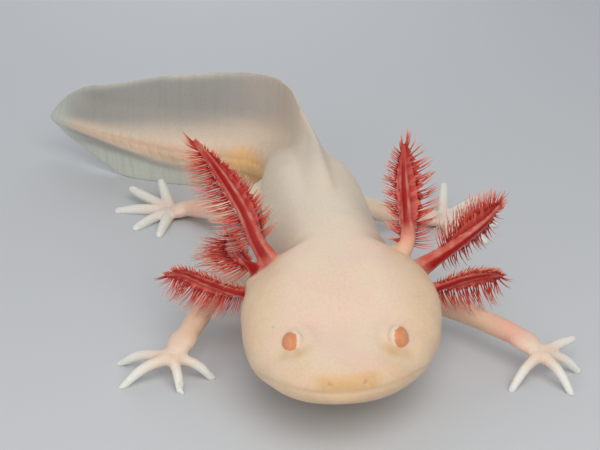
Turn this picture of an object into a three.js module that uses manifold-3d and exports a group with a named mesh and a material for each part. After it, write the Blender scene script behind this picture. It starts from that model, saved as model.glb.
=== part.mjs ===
// A life-size albino axolotl, standing on its four feet with its tail swung to its right.
// Millimetres, +Z up, floor at z = 0. The animal looks towards -Y, so its left side is at +X.
import * as THREE from "three";
import { mergeVertices } from "three/addons/utils/BufferGeometryUtils.js";
import Module from "manifold-3d";

const wasm = await Module();
wasm.setup();

// ---------------------------------------------------------------- driving dimensions
const HEAD_HALF_WIDTH = 24;
const TRUNK_HALF_WIDTH = 14.8;
const FIN_HALF_THICKNESS = 0.6;
const EYE_RADIUS = 2.6;
const GAP = 0.3; // between neighbouring solids
const FACET = 0.1; // the detail dropped from each solid's faces
const FILAMENT_RADIUS = 0.5; // at the root of a gill filament
const HEAD_ROLL = 0.05; // radians, the head's left side up
const UP = new THREE.Vector3(0, 0, 1);
const point = (xyz) => new THREE.Vector3(...xyz);

// The line through the middle of the body, from the snout to the tail's tip.
const SPINE = new THREE.CatmullRomCurve3(
  [
    [8.6, -81.5, 17.2],
    [9.2, -62, 16],
    [9.8, -44, 17.6],
    [9.2, -26, 18.6],
    [5.8, -2, 17.8],
    [3.2, 24, 16.4],
    [0.6, 44, 15],
    [-3.4, 60, 13.6],
    [-11.5, 71.5, 12.8],
    [-25, 77, 12.6],
    [-43, 80, 13.2],
    [-61, 87, 15],
    [-76, 98, 15.6],
    [-88, 112, 14],
  ].map(point),
);
const LENGTH = SPINE.getLength();

// ---------------------------------------------------------------- small tools
// A smooth curve through [position, value] pairs, level outside them, that never overshoots.
function profile(pairs) {
  const slope = (i) =>
    (pairs[i + 1][1] - pairs[i][1]) / (pairs[i + 1][0] - pairs[i][0]);
  const tangent = (i) => {
    if (i === 0 || i === pairs.length - 1) return 0;
    const [before, after] = [slope(i - 1), slope(i)];
    return before * after <= 0 ? 0 : (2 * before * after) / (before + after);
  };
  return (s) => {
    if (s <= pairs[0][0]) return pairs[0][1];
    if (s >= pairs.at(-1)[0]) return pairs.at(-1)[1];
    const i = pairs.findIndex((pair) => pair[0] > s) - 1;
    const span = pairs[i + 1][0] - pairs[i][0];
    const t = (s - pairs[i][0]) / span;
    const [a, b] = [pairs[i][1], pairs[i + 1][1]];
    const [ta, tb] = [tangent(i) * span, tangent(i + 1) * span];
    return (
      a * (2 * t ** 3 - 3 * t ** 2 + 1) +
      ta * (t ** 3 - 2 * t ** 2 + t) +
      b * (3 * t ** 2 - 2 * t ** 3) +
      tb * (t ** 3 - t ** 2)
    );
  };
}

// How full a rounded end is, at a distance s into a cap of the given length.
const rounded = (s, cap) =>
  s >= cap ? 1 : Math.sqrt(Math.max(0, 1 - (1 - s / cap) ** 2));

// The power curve that turns a circle into a rounded box as square goes up from 2.
const power = (value, square) =>
  Math.sign(value) * Math.abs(value) ** (2 / square);

// A closed geometry as a manifold-3d solid.
function solid(geometry) {
  const bare = geometry.clone();
  bare.deleteAttribute("normal");
  bare.deleteAttribute("uv");
  const merged = mergeVertices(bare, 1e-4);
  const triVerts = new Uint32Array(merged.index.array);
  const vertProperties = merged.attributes.position.array;
  const build = () =>
    new wasm.Manifold(
      new wasm.Mesh({ numProp: 3, vertProperties, triVerts }),
    );
  const made = build();
  if (made.volume() > 0) return made;
  for (let i = 0; i < triVerts.length; i += 3)
    [triVerts[i + 1], triVerts[i + 2]] = [triVerts[i + 2], triVerts[i + 1]];
  return build();
}

// The sideways and upward directions of a section across a line that heads along tangent.
function across(tangent, upward) {
  const side = new THREE.Vector3().crossVectors(tangent, upward).normalize();
  return { side, up: new THREE.Vector3().crossVectors(side, tangent) };
}

// A sphere whose rings are carried along a line from one share of its length to another.
// section(s) gives the ring's side, up and down reach, in mm, at s mm along the line, and
// upward(s) the direction it stands in.
function loft(line, section, { rings, sides, from = 0, to = 1, square = 2, upward = () => UP }) {
  const length = line.getLength();
  const geometry = new THREE.SphereGeometry(1, sides, rings);
  const { position, uv } = geometry.attributes;
  for (let i = 0; i < position.count; i++) {
    const v = 1 - uv.getY(i);
    const share = v - (0.8 * Math.sin(2 * Math.PI * v)) / (2 * Math.PI);
    const t = from + (to - from) * share;
    const angle = 2 * Math.PI * (uv.getX(i) % 1);
    const end = v < 1e-6 || v > 1 - 1e-6;
    const reach = section(t * length);
    const { side, up } = across(line.getTangentAt(t), upward(t * length));
    const cos = end ? 0 : power(Math.cos(angle), square);
    const sin = end ? 0 : power(Math.sin(angle), square);
    const at = line
      .getPointAt(t)
      .addScaledVector(side, reach.side * cos)
      .addScaledVector(up, (sin > 0 ? reach.up : reach.down) * sin);
    position.setXYZ(i, at.x, at.y, at.z);
  }
  return solid(geometry);
}

// A round limb, finger or stalk through points, with its radius given at equal shares of its length.
function limb(points, radii, { rings, sides, flat = 1 }) {
  const line = new THREE.CatmullRomCurve3(points.map(point));
  const length = line.getLength();
  const radius = profile(radii.map((r, i) => [(length * i) / (radii.length - 1), r]));
  const section = (s) => {
    const cap = rounded(s, radii[0]) * rounded(length - s, radii.at(-1));
    const r = radius(s) * cap;
    return { side: r, up: r * flat, down: r * flat };
  };
  return { line, body: loft(line, section, { rings, sides }) };
}

// A thin disc across a line, for parting the solid that runs along it.
function parting(line, s, radius) {
  const t = s / line.getLength();
  const disc = new THREE.CylinderGeometry(radius, radius, GAP, 24);
  disc.applyQuaternion(
    new THREE.Quaternion().setFromUnitVectors(new THREE.Vector3(0, 1, 0), line.getTangentAt(t)),
  );
  const at = line.getPointAt(t);
  return solid(disc.translate(at.x, at.y, at.z));
}

const joined = (solids) => wasm.Manifold.union(solids);

// The corner-to-corner middle of a solid.
function middle(body) {
  const { min, max } = body.boundingBox();
  return point(min).add(point(max)).multiplyScalar(0.5);
}

// Parts a solid with discs across a line, and lists its pieces in order along that line.
function partedAlong(body, line, cuts) {
  const samples = line.getSpacedPoints(200);
  const order = (piece) => {
    const centre = middle(piece);
    const away = samples.map((sample) => sample.distanceTo(centre));
    return away.indexOf(Math.min(...away));
  };
  const crumb = 1; // cubic millimetres
  return cuts
    .reduce((rest, [s, radius]) => rest.subtract(parting(line, s, radius)), body)
    .decompose()
    .filter((piece) => piece.volume() > crumb)
    .sort((a, b) => order(a) - order(b));
}

// The space under the floor, which gives feet and tail their small flats.
const UNDERFLOOR = solid(new THREE.BoxGeometry(400, 400, 20).translate(0, 0, -10));

// ---------------------------------------------------------------- body
const SNOUT_CAP = 17;
const bodySide = profile([
  [0, 17.5],
  [9, 17.8],
  [17, 20.6],
  [27, 23.2],
  [35, HEAD_HALF_WIDTH],
  [42, 23.2],
  [48, 19.6],
  [54, 15.2],
  [62, 13.8],
  [82, TRUNK_HALF_WIDTH],
  [104, 14.6],
  [122, 13],
  [134, 10.6],
  [148, 7.6],
  [166, 5.4],
  [190, 4],
  [204, 2.8],
  [216, 2],
  [LENGTH, 1.1],
]);
const bodyUp = profile([
  [0, 4.6],
  [9, 5.7],
  [17, 7.7],
  [27, 11.1],
  [38, 12.8],
  [50, 12.6],
  [70, 13.4],
  [100, 14.2],
  [122, 12.2],
  [138, 9.2],
  [158, 7],
  [176, 6],
  [192, 4.9],
  [204, 3.4],
  [216, 2.2],
  [LENGTH, 1.2],
]);
const bodyDown = profile([
  [0, 4.4],
  [5, 5.8],
  [10, 7.5],
  [18, 9.2],
  [27, 10.9],
  [38, 11.6],
  [52, 11.4],
  [70, 12.8],
  [96, 13],
  [120, 11],
  [138, 8.6],
  [158, 7],
  [176, 6],
  [192, 4.9],
  [204, 3.4],
  [216, 2.2],
  [LENGTH, 1.2],
]);
function bodySection(s, extra = 0) {
  const tail = rounded(LENGTH - s, 2);
  const thin = Math.sqrt(rounded(s, 9)) * tail;
  return {
    side: bodySide(s) * rounded(s, SNOUT_CAP) * tail + extra,
    up: bodyUp(s) * thin + extra,
    down: bodyDown(s) * thin + extra,
  };
}
const rollAt = profile([
  [44, HEAD_ROLL],
  [74, 0],
]);
const BODY_MESH = {
  rings: 30,
  sides: 18,
  square: 2.25,
  upward: (s) => new THREE.Vector3(-Math.sin(rollAt(s)), 0, Math.cos(rollAt(s))),
};
// The three gills of each side leave a swelling at the head's back corner.
const GILL_ROOTS = [
  { at: [25.6, -38, 20], radius: 6 },
  { at: [-7, -38, 19], radius: 6.6 },
];
const ball = (centre, radius, sides = 10) =>
  solid(new THREE.SphereGeometry(radius, sides, sides * 0.6).translate(...centre));
function flesh(extra = 0) {
  const roots = GILL_ROOTS.map(({ at, radius }) => ball(at, radius + extra));
  return joined([loft(SPINE, (s) => bodySection(s, extra), BODY_MESH), ...roots]);
}
const body = flesh();
const bodyGrown = flesh(GAP);

// ---------------------------------------------------------------- fins
// The crest starts behind the shoulders and runs over the back to the tail's tip.
const CREST_START = 66;
const LOWER_FIN_START = 138;
const finTop = profile([
  [CREST_START, 12],
  [84, 15.4],
  [104, 17.2],
  [116, 20.4],
  [126, 24.6],
  [136, 27],
  [144, 27.4],
  [152, 28.6],
  [162, 28.8],
  [176, 27.8],
  [192, 25.6],
  [208, 20],
  [216, 17.4],
  [224, 14.8],
  [LENGTH - 16, 11.6],
  [LENGTH - 9, 8],
  [LENGTH - 5, 5.6],
  [LENGTH - 2.4, 3.8],
  [LENGTH - 1, 2.4],
]);
const finBottom = profile([
  [LOWER_FIN_START, 5],
  [148, 11.4],
  [158, 13],
  [176, 13.4],
  [190, 13.8],
  [208, 15.2],
  [216, 13],
  [224, 10.4],
  [LENGTH - 16, 8.8],
  [LENGTH - 9, 7.2],
  [LENGTH - 5, 5.6],
  [LENGTH - 2.4, 3.8],
  [LENGTH - 1, 2.2],
]);
function finBlade(start, top, bottom) {
  const section = (s) => ({
    side: FIN_HALF_THICKNESS,
    up: top(s),
    down: bottom(s),
  });
  const from = start / LENGTH;
  const to = (LENGTH - 1) / LENGTH;
  return loft(SPINE, section, { rings: 22, sides: 8, from, to, square: 3.4 });
}
const inside = () => 0.5;
const upperFin = finBlade(CREST_START, finTop, inside).subtract(bodyGrown);
const lowerFin = finBlade(LOWER_FIN_START, inside, finBottom).subtract(bodyGrown);

// ---------------------------------------------------------------- gills
// Three feathered stalks on each side. A row of filaments stands off the stalk along `towards`;
// they are longest a little before the middle of the stalk.
const STALK_RADII = [2.5, 1.75, 1.35, 0.8];
const FILAMENT_PITCH = 3.5;
function filament(root, towards, length) {
  const cone = new THREE.CylinderGeometry(0.36, FILAMENT_RADIUS, length, 3);
  cone.translate(0, length / 2, 0);
  cone.applyQuaternion(
    new THREE.Quaternion().setFromUnitVectors(new THREE.Vector3(0, 1, 0), towards),
  );
  return solid(cone.translate(root.x, root.y, root.z));
}
function filamentRow(line, { towards, length, from = 0.22, lean = 0.5 }) {
  const count = Math.round((line.getLength() * (1 - from)) / FILAMENT_PITCH);
  const base = point(towards).normalize();
  return Array.from({ length: count }, (_, i) => {
    const share = i / (count - 1);
    const t = from + (0.99 - from) * share;
    const way = base.clone().addScaledVector(line.getTangentAt(t), lean * (0.3 + share));
    const reach = length * (0.35 + 0.65 * Math.sin(Math.PI * (0.2 + 0.72 * share)));
    return filament(line.getPointAt(t), way.normalize(), reach);
  });
}
function gill({ points, rows, girth = 1 }) {
  const radii = STALK_RADII.map((radius) => radius * girth);
  const { line, body: stalk } = limb(points, radii, { rings: 8, sides: 6 });
  const filaments = rows.flatMap((row) => filamentRow(line, row));
  return joined([stalk, ...filaments]).subtract(bodyGrown);
}
const GILLS = {
  left_gill_upper: {
    points: [
      [22.5, -31, 23.5],
      [26.2, -32, 29.4],
      [26, -29, 35.4],
      [25.8, -21.6, 42],
      [26.2, -14.6, 49],
    ],
    rows: [
      { towards: [1, 0, 0.15], length: 9.5 },
      { towards: [-1, 0, 0.25], length: 6.5 },
    ],
  },
  left_gill_middle: {
    points: [
      [27, -34.6, 21.8],
      [33.4, -33.4, 26],
      [41, -28, 28.9],
      [46.7, -23, 31.1],
      [51, -18, 33.6],
    ],
    rows: [
      { towards: [-0.2, 0.1, 1], length: 6.8, from: 0.4 },
      { towards: [0.4, 0.8, -1], length: 6.4, from: 0.32, lean: 0.3 },
    ],
  },
  left_gill_lower: {
    girth: 0.8,
    points: [
      [26, -37.8, 16.6],
      [34.5, -36.6, 19.9],
      [42.3, -32, 20.1],
      [47.8, -29, 19.2],
      [51.7, -26, 17.4],
    ],
    rows: [
      { towards: [0.15, -0.1, -1], length: 9.8, from: 0.32, lean: 0.35 },
      { towards: [0.1, -0.3, 1], length: 2.6, from: 0.32 },
    ],
  },
  right_gill_upper: {
    points: [
      [-6, -33.5, 23.2],
      [-10.4, -32, 29.4],
      [-13.6, -28, 35.2],
      [-17.4, -23, 39.8],
      [-22.2, -17, 44.7],
      [-27, -12, 49],
    ],
    rows: [
      { towards: [-1, 0, -0.2], length: 9, lean: 0.3 },
      { towards: [1, 0.1, 0.3], length: 5.5 },
    ],
  },
  right_gill_middle: {
    girth: 0.8,
    points: [
      [-3, -36, 20.4],
      [-11, -35, 23.7],
      [-14.6, -29, 23.6],
      [-17, -21, 23.4],
      [-18.4, -12, 23],
    ],
    rows: [
      { towards: [-1, 0.25, -0.2], length: 11, from: 0.36, lean: 0.15 },
    ],
  },
  right_gill_lower: {
    girth: 0.8,
    points: [
      [-4, -36, 17.6],
      [-14.3, -37, 18.2],
      [-23.6, -33, 19.4],
      [-28.8, -30, 20],
      [-34.2, -27, 18.2],
    ],
    rows: [
      { towards: [-0.35, -0.3, -1], length: 9.3, from: 0.36, lean: 0.3 },
      { towards: [-0.2, -0.1, 1], length: 2.6, from: 0.36 },
    ],
  },
};

// ---------------------------------------------------------------- legs
// A leg runs root, joint, ankle, palm. Its toes start in the palm and arch over to their tips.
function toe(palm, tip, radii) {
  const knuckle = [0, 1, 2].map((k) => palm[k] + 0.55 * (tip[k] - palm[k]));
  knuckle[2] = 0.35 * tip[2] + 0.62 * palm[2] + 0.5;
  return limb([palm, knuckle, tip], radii, { rings: 4, sides: 5 }).body;
}
function leg(name, { points, radii, palm, toeRadii, tips, hinge }) {
  const shaft = limb(points, radii, { rings: 9, sides: 8, flat: 0.9 });
  const pad = loft(
    shaft.line,
    (s) => {
      const share = (s / shaft.line.getLength() - hinge.ankle) / (1 - hinge.ankle);
      const bulge = Math.sqrt(Math.max(0, 1 - (2 * share - 1) ** 2));
      const height = palm.height * bulge;
      return { side: palm.side * bulge, up: height, down: height };
    },
    { rings: 5, sides: 8, from: hinge.ankle, to: 1 },
  );
  const whole = joined([shaft.body, pad, ...tips.map((tip) => toe(points.at(-1), tip, toeRadii))])
    .subtract(bodyGrown)
    .subtract(UNDERFLOOR);
  const length = shaft.line.getLength();
  const pieces = partedAlong(whole, shaft.line, [
    [hinge.knee * length, 7],
    [hinge.ankle * length, 6],
  ]);
  return Object.fromEntries(pieces.map((piece, i) => [name[i], piece]));
}
const HAND = {
  palm: { side: 4, height: 2.3 },
  radii: [4.6, 3.6, 3, 2.9, 2],
  toeRadii: [1.7, 1.25, 0.85],
  hinge: { knee: 0.46, ankle: 0.8 },
};
const FOOT = {
  palm: { side: 4.8, height: 2.4 },
  radii: [5.6, 4.4, 3.6, 3.2, 2],
  toeRadii: [1.9, 1.6, 1.15],
  hinge: { knee: 0.46, ankle: 0.8 },
};
const LEGS = [
  {
    name: ["left_upper_arm", "left_forearm", "left_hand"],
    ...HAND,
    points: [
      [16, -17, 12],
      [37, -25, 8.6],
      [48.2, -35, 8.4],
      [54.6, -41.6, 7.8],
      [58.6, -45.6, 6],
    ],
    tips: [
      [50.2, -53.4, -0.6],
      [65.2, -55, -0.6],
      [69.2, -44, -0.6],
      [68.6, -38, 6],
    ],
  },
  {
    name: ["right_upper_arm", "right_forearm", "right_hand"],
    ...HAND,
    points: [
      [-1, -16, 13],
      [-21, -17, 9.4],
      [-25, -29, 8.4],
      [-28.4, -41, 7.9],
      [-31, -47, 6],
    ],
    tips: [
      [-46, -40, -0.6],
      [-43.6, -51.6, -0.6],
      [-28.2, -54.6, -0.6],
      [-20.6, -47.5, -0.6],
    ],
  },
  {
    name: ["left_thigh", "left_shank", "left_foot"],
    ...FOOT,
    points: [
      [4, 45, 12.5],
      [22, 37.5, 8.5],
      [37, 43.5, 4.2],
      [45, 46.5, 1.4],
    ],
    tips: [
      [47, 64, 6.5],
      [58, 59, 3.4],
      [62.5, 44.5, 0],
      [57, 31, 0],
      [47, 28.5, 0],
    ],
  },
  {
    name: ["right_thigh", "right_shank", "right_foot"],
    ...FOOT,
    points: [
      [-5, 45, 12.5],
      [-22, 39, 8.2],
      [-34, 49, 4.2],
      [-41, 53, 1.4],
    ],
    tips: [
      [-46, 67.5, 6.5],
      [-56, 66, 4.2],
      [-60, 56, 0],
      [-52, 41, 0],
      [-43.5, 35.5, 0],
    ],
  },
];

// ---------------------------------------------------------------- head
const EYES = { left_eye: [22.2, -66.6, 22], right_eye: [-2, -66.8, 20.8] };

// A low mound of skin carries each eye, on its inner side.
const MOUND = { radius: 4.2, inward: 1.7, back: 1.8, sink: 2.3 };
function mound([x, y, z]) {
  const inward = Math.sign(SPINE.getPointAt(0).x - x) * MOUND.inward;
  return ball([x + inward, y + MOUND.back, z - MOUND.sink], MOUND.radius, 12);
}

// The space of the lower jaw as a side view, carried across the head.
const JAW_SIDE = [
  [-95, 16.8],
  [-80, 16.8],
  [-66, 14],
  [-56, 13.4],
  [-52.5, 10],
  [-52, -5],
  [-95, -5],
];
function jawSpace(gap) {
  const outline = JAW_SIDE.map(([y, z]) => new THREE.Vector2(y + gap, z + gap));
  const slab = new THREE.ExtrudeGeometry(new THREE.Shape(outline), {
    depth: 90,
    bevelEnabled: false,
  });
  const lying = new THREE.Matrix4().makeBasis(point([0, 1, 0]), UP, point([1, 0, 0]));
  return solid(slab.applyMatrix4(lying).translate(-35, 0, 0));
}

// ---------------------------------------------------------------- parting the body
const BODY_CUTS = [[52, 24], [76, 20], [122, 18], [140, 14], [176, 12], [212, 10]];
const BODY_NAMES = [
  "head",
  "shoulders",
  "trunk",
  "hips",
  "tail_base",
  "tail_middle",
  "tail_tip",
];
const bodyParts = Object.fromEntries(
  partedAlong(body, SPINE, BODY_CUTS).map((piece, i) => [BODY_NAMES[i], piece]),
);
const bareHead = bodyParts.head;
const eyes = Object.values(EYES);
bodyParts.head = joined([bareHead.subtract(jawSpace(GAP)), ...eyes.map(mound)]).subtract(
  joined(eyes.map((at) => ball(at, EYE_RADIUS + GAP))),
);
bodyParts.lower_jaw = bareHead.intersect(jawSpace(0));

const [crest, upperTailFin] = partedAlong(upperFin, SPINE, [[124, 40]]);
const finParts = {
  dorsal_fin: crest,
  upper_tail_fin: upperTailFin,
  lower_tail_fin: lowerFin.subtract(UNDERFLOOR),
};

// ---------------------------------------------------------------- the scene graph
const FINISH = {
  skin: { color: 0xe9cdb6, roughness: 0.45, metalness: 0 },
  fin: { color: 0xc9c4b4, roughness: 0.4, metalness: 0 },
  gill: { color: 0xa82a22, roughness: 0.4, metalness: 0 },
  eye: { color: 0xd98a5c, roughness: 0.15, metalness: 0 },
};
const axolotl = new THREE.Group();
function add(name, body, finish) {
  const { numProp, vertProperties, triVerts } = body.simplify(FACET).getMesh();
  const geometry = new THREE.BufferGeometry();
  geometry.setAttribute("position", new THREE.BufferAttribute(vertProperties, numProp));
  geometry.setIndex(new THREE.BufferAttribute(triVerts, 1));
  const mesh = new THREE.Mesh(geometry, new THREE.MeshStandardMaterial(FINISH[finish]));
  mesh.name = name;
  axolotl.add(mesh);
}
for (const [name, piece] of Object.entries(bodyParts)) add(name, piece, "skin");
for (const [name, piece] of Object.entries(finParts)) add(name, piece, "fin");
for (const [name, at] of Object.entries(EYES)) add(name, ball(at, EYE_RADIUS), "eye");
for (const [name, shape] of Object.entries(GILLS)) add(name, gill(shape), "gill");
for (const { name, ...shape } of LEGS)
  for (const [node, piece] of Object.entries(leg(name, shape))) add(node, piece, "skin");

// The origin is on the floor, under the middle of the whole.
const { min, max } = new THREE.Box3().setFromObject(axolotl);
axolotl.position.set(-(min.x + max.x) / 2, -(min.y + max.y) / 2, 0);

export default axolotl;
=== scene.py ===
"""A life-size albino axolotl: one soft skin, feathered gills, eyes and a plain stage."""

import math
import random

import bmesh
import bpy
import numpy as np
from bpy.props import FloatProperty, FloatVectorProperty, IntProperty, PointerProperty
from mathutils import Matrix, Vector, noise


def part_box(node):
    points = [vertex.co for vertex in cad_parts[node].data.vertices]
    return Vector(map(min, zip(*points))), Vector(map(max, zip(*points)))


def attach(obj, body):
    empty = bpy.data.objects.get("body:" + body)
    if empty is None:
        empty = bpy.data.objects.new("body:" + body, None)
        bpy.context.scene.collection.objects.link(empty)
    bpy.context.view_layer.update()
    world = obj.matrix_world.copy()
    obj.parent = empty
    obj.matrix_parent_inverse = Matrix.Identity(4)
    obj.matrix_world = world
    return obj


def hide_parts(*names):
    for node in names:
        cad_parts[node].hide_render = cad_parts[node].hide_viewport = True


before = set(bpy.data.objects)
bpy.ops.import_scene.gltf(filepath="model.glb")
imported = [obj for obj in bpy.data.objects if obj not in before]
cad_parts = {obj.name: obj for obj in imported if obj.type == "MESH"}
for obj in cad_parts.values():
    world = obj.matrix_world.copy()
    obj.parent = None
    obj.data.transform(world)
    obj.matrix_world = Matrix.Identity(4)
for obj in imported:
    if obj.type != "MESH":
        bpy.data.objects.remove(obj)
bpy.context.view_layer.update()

bl_info = {
    "name": "Axolotl",
    "version": (1, 0, 0),
    "blender": (4, 5, 0),
    "location": "View3D > Sidebar > Axolotl",
    "description": "Makes a life-size axolotl with its skin, gills, eyes and stage",
    "category": "Object",
}

# ---------------------------------------------------------------- the animal's lines, in mm
# The animal looks towards -Y with its left side at +X, and stands on z = 0. settle() takes these
# places to the frame.
UP = np.array([0.0, 0.0, 1.0])
MM = 0.001

SPINE_POINTS = [
    (8.6, -81.5, 17.2), (9.2, -62, 16), (9.8, -44, 17.6), (9.2, -26, 18.6), (5.8, -2, 17.8),
    (3.2, 24, 16.4), (0.6, 44, 15), (-3.4, 60, 13.6), (-11.5, 71.5, 12.8), (-25, 77, 12.6),
    (-43, 80, 13.2), (-61, 87, 15), (-76, 98, 15.6), (-88, 112, 14),
]
HEAD_ROLL = 0.05  # radians, the left side up
SNOUT_CAP = 17  # length of the snout's rounding, seen from above
SNOUT_THIN_CAP = 9  # and seen from the side
TAIL_CAP = 2

# Places along the spine, from the snout's tip.
THROAT_FOLD = 43.5
HEAD_END = 48
NECK_FOLD = 53.5
CREST_START = 66
CREST_LOW_END = 126  # up to here the crest is a soft ridge, and past it a thin fin
VENT = 132
TAIL_START = 134
LOWER_FIN_START = 138
GROOVE_SPACING = 4.4  # from one costal groove to the next
BLOCK_SPACING = 3.6  # from one muscle block of the tail to the next

AMBER_PATCH = (-17.7, 67, 9.5)  # on the near side of the tail's root
AMBER_REACH = (8.5, 14, 7.5)
EYES = {"left": (22.2, -66.6, 22), "right": (-2, -66.8, 20.8)}
EYE_LOOK = (0.74, -0.52, 0.4)  # the left eye's; the right eye's is its mirror image
EYE_RADIUS = 0.00285  # metres
EYE_OPENING = 69  # degrees from the look to the lid's edge
EYE_DEPTH = 0.7  # how deep an eye is for its width
EYE_SUNK = 0.4  # how far the flattened eye sits back along its look
EYE_TUCK = 0.7  # how deep the skin runs behind an eye's face, within its opening
LID_HEIGHT = 0.3  # how far the rim round the opening stands off the eye
LID_GAP = 0.2  # the least that the skin stands off the eye beyond the rim
MOUND_RADIUS = 4.2
MOUND_OFFSET = (1.7, 1.8, -2.3)  # inward, back and up from the eye
FACE_MIDDLE = 10.2  # the snout points a little to the animal's left
NOSTRIL_APART = 3.9  # from the face's middle
NOSTRIL_HEIGHT = 1.9  # above the mouth's line

# The three gills of each side leave a swelling at the head's back corner.
GILL_ROOTS = [((25.6, -38, 20), 6), ((-7, -38, 19), 6.6)]
STALK_RADII = (2.5, 1.75, 1.35, 0.8)
# Each row of filaments stands off its stalk in one direction, from a share of the stalk onwards.
# Lean tilts the filaments towards the stalk's tip, taper shortens them there, bunched draws
# neighbours' tips together, and web is the web's width for their length. Red_from is the share
# of the stalk at which its skin turns red.
GILLS = {
    "left_gill_upper": {
        "points": [
            (22.5, -31, 23.5), (26.2, -32, 29.4), (26, -29, 35.4), (25.8, -21.6, 42),
            (26.2, -14.6, 49),
        ],
        "rows": [
            {"towards": (1, 0, 0.15), "length": 8.6, "lean": 0.4, "web": 0.5, "taper": -0.05},
            {"towards": (-1, 0, 0.25), "length": 5.6, "lean": 0.4, "web": 0.4, "bunched": 0.8},
        ],
        "red_from": 0.26,
    },
    "left_gill_middle": {
        "points": [
            (27, -34.6, 21.8), (33.4, -33.4, 26), (41, -28, 28.9), (46.7, -23, 31.1),
            (51, -18, 33.6),
        ],
        "rows": [
            {"towards": (-0.2, 0.1, 1), "length": 9, "start": 0.3, "lean": 0.4, "web": 0.55},
            {"towards": (0.4, 0.8, -1), "length": 8.6, "start": 0.28, "lean": 0.3, "web": 0.5},
        ],
        "red_from": 0.08,
    },
    "left_gill_lower": {
        "girth": 0.8,
        "points": [
            (26, -37.8, 16.6), (34.5, -36.6, 19.9), (42.3, -32, 20.1), (47.8, -29, 19.2),
            (51.7, -26, 17.4),
        ],
        "rows": [
            {"towards": (0.15, -0.1, -1), "length": 9.8, "start": 0.26, "lean": 0.35, "web": 0.3},
            {"towards": (0.1, -0.3, 1), "length": 3, "start": 0.28, "lean": 0.5, "web": 0.6},
        ],
        "red_from": 0.08,
    },
    "right_gill_upper": {
        "points": [
            (-6, -33.5, 23.2), (-10.4, -32, 29.4), (-13.6, -28, 35.2), (-17.4, -23, 39.8),
            (-22.2, -17, 44.7), (-27, -12, 49),
        ],
        "rows": [
            {"towards": (-1, 0, -0.2), "length": 9.4, "lean": 0.3, "web": 0.2, "bunched": 0.1},
            {"towards": (1, 0.1, 0.3), "length": 8, "lean": 0.5, "web": 0.7, "taper": 0.75},
        ],
        "red_from": 0.02,
    },
    "right_gill_middle": {
        "girth": 0.8,
        "points": [
            (-3, -36, 20.4), (-11, -35, 23.7), (-14.6, -29, 23.6), (-17, -21, 23.4),
            (-18.4, -12, 23),
        ],
        "rows": [
            {"towards": (-1, 0.25, -0.2), "length": 11, "start": 0.3, "lean": 0.15, "web": 0.25},
            {"towards": (0.5, 0.3, 1), "length": 3, "start": 0.34, "lean": 0.5, "web": 0.6},
        ],
        "red_from": 0.08,
    },
    "right_gill_lower": {
        "girth": 0.8,
        "points": [
            (-4, -36, 17.6), (-14.3, -37, 18.2), (-23.6, -33, 19.4), (-28.8, -30, 20),
            (-34.2, -27, 18.2),
        ],
        "rows": [
            {"towards": (-0.35, -0.3, -1), "length": 9.3, "start": 0.3, "lean": 0.3, "web": 0.3},
            {"towards": (-0.2, -0.1, 1), "length": 3, "start": 0.3, "lean": 0.5, "web": 0.6},
        ],
        "red_from": 0.1,
    },
}

HAND = {
    "palm": (3.5, 2.3),
    "radii": (5.2, 3.9, 3.1, 2.9, 2.2),
    "toe_radii": (1.75, 1.35, 1.2, 0.95),
}
FOOT = {
    "palm": (4.8, 2.4),
    "radii": (6.2, 4.7, 3.6, 3.2, 2.2),
    "toe_radii": (1.95, 1.75, 1.6, 1.3),
}
ANKLE = 0.8  # the share of a leg at which its palm starts
# A leg runs from its root over its joint and ankle to its palm, and its toes from there to their
# tips. Blush is the share of it that is pinkest.
LEGS = {
    "left_arm": {
        **HAND,
        "points": [
            (16, -17, 12), (37, -25, 8.6), (48.2, -35, 8.4), (54.6, -41.6, 7.8), (58.6, -45.6, 6),
        ],
        "tips": [
            (50.2, -53.4, -0.6), (65.2, -55, -0.6), (69.2, -44, -0.6), (68.6, -38, 6),
        ],
        "blush": 0.84,
    },
    "right_arm": {
        **HAND,
        "points": [
            (-1, -16, 13), (-21, -17, 9.4), (-25, -29, 8.4), (-28.4, -41, 7.9), (-31, -47, 6),
        ],
        "tips": [
            (-46, -40, -0.6), (-43.6, -51.6, -0.6), (-28.2, -54.6, -0.6), (-20.6, -47.5, -0.6),
        ],
        "blush": 0.62,
    },
    "left_leg": {
        **FOOT,
        "points": [(4, 45, 12.5), (22, 37.5, 8.5), (37, 43.5, 4.2), (45, 46.5, 1.4)],
        "tips": [
            (47, 64, 6.5), (58, 59, 3.4), (62.5, 44.5, 0), (57, 31, 0), (47, 28.5, 0),
        ],
        "blush": 0.7,
    },
    "right_leg": {
        **FOOT,
        "points": [(-5, 45, 12.5), (-22, 39, 8.2), (-34, 49, 4.2), (-41, 53, 1.4)],
        "tips": [
            (-46, 67.5, 6.5), (-56, 66, 4.2), (-60, 56, 0), (-52, 41, 0), (-43.5, 35.5, 0),
        ],
        "blush": 0.7,
    },
}

SIDES = ("left", "right")
FLESH_NODES = [
    "head",
    "lower_jaw",
    "shoulders",
    "trunk",
    "hips",
    "tail_base",
    "tail_middle",
    "tail_tip",
    "dorsal_fin",
    "upper_tail_fin",
    "lower_tail_fin",
    *(f"{side}_{part}" for side in SIDES for part in ("upper_arm", "forearm", "hand")),
    *(f"{side}_{part}" for side in SIDES for part in ("thigh", "shank", "foot")),
]


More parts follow.
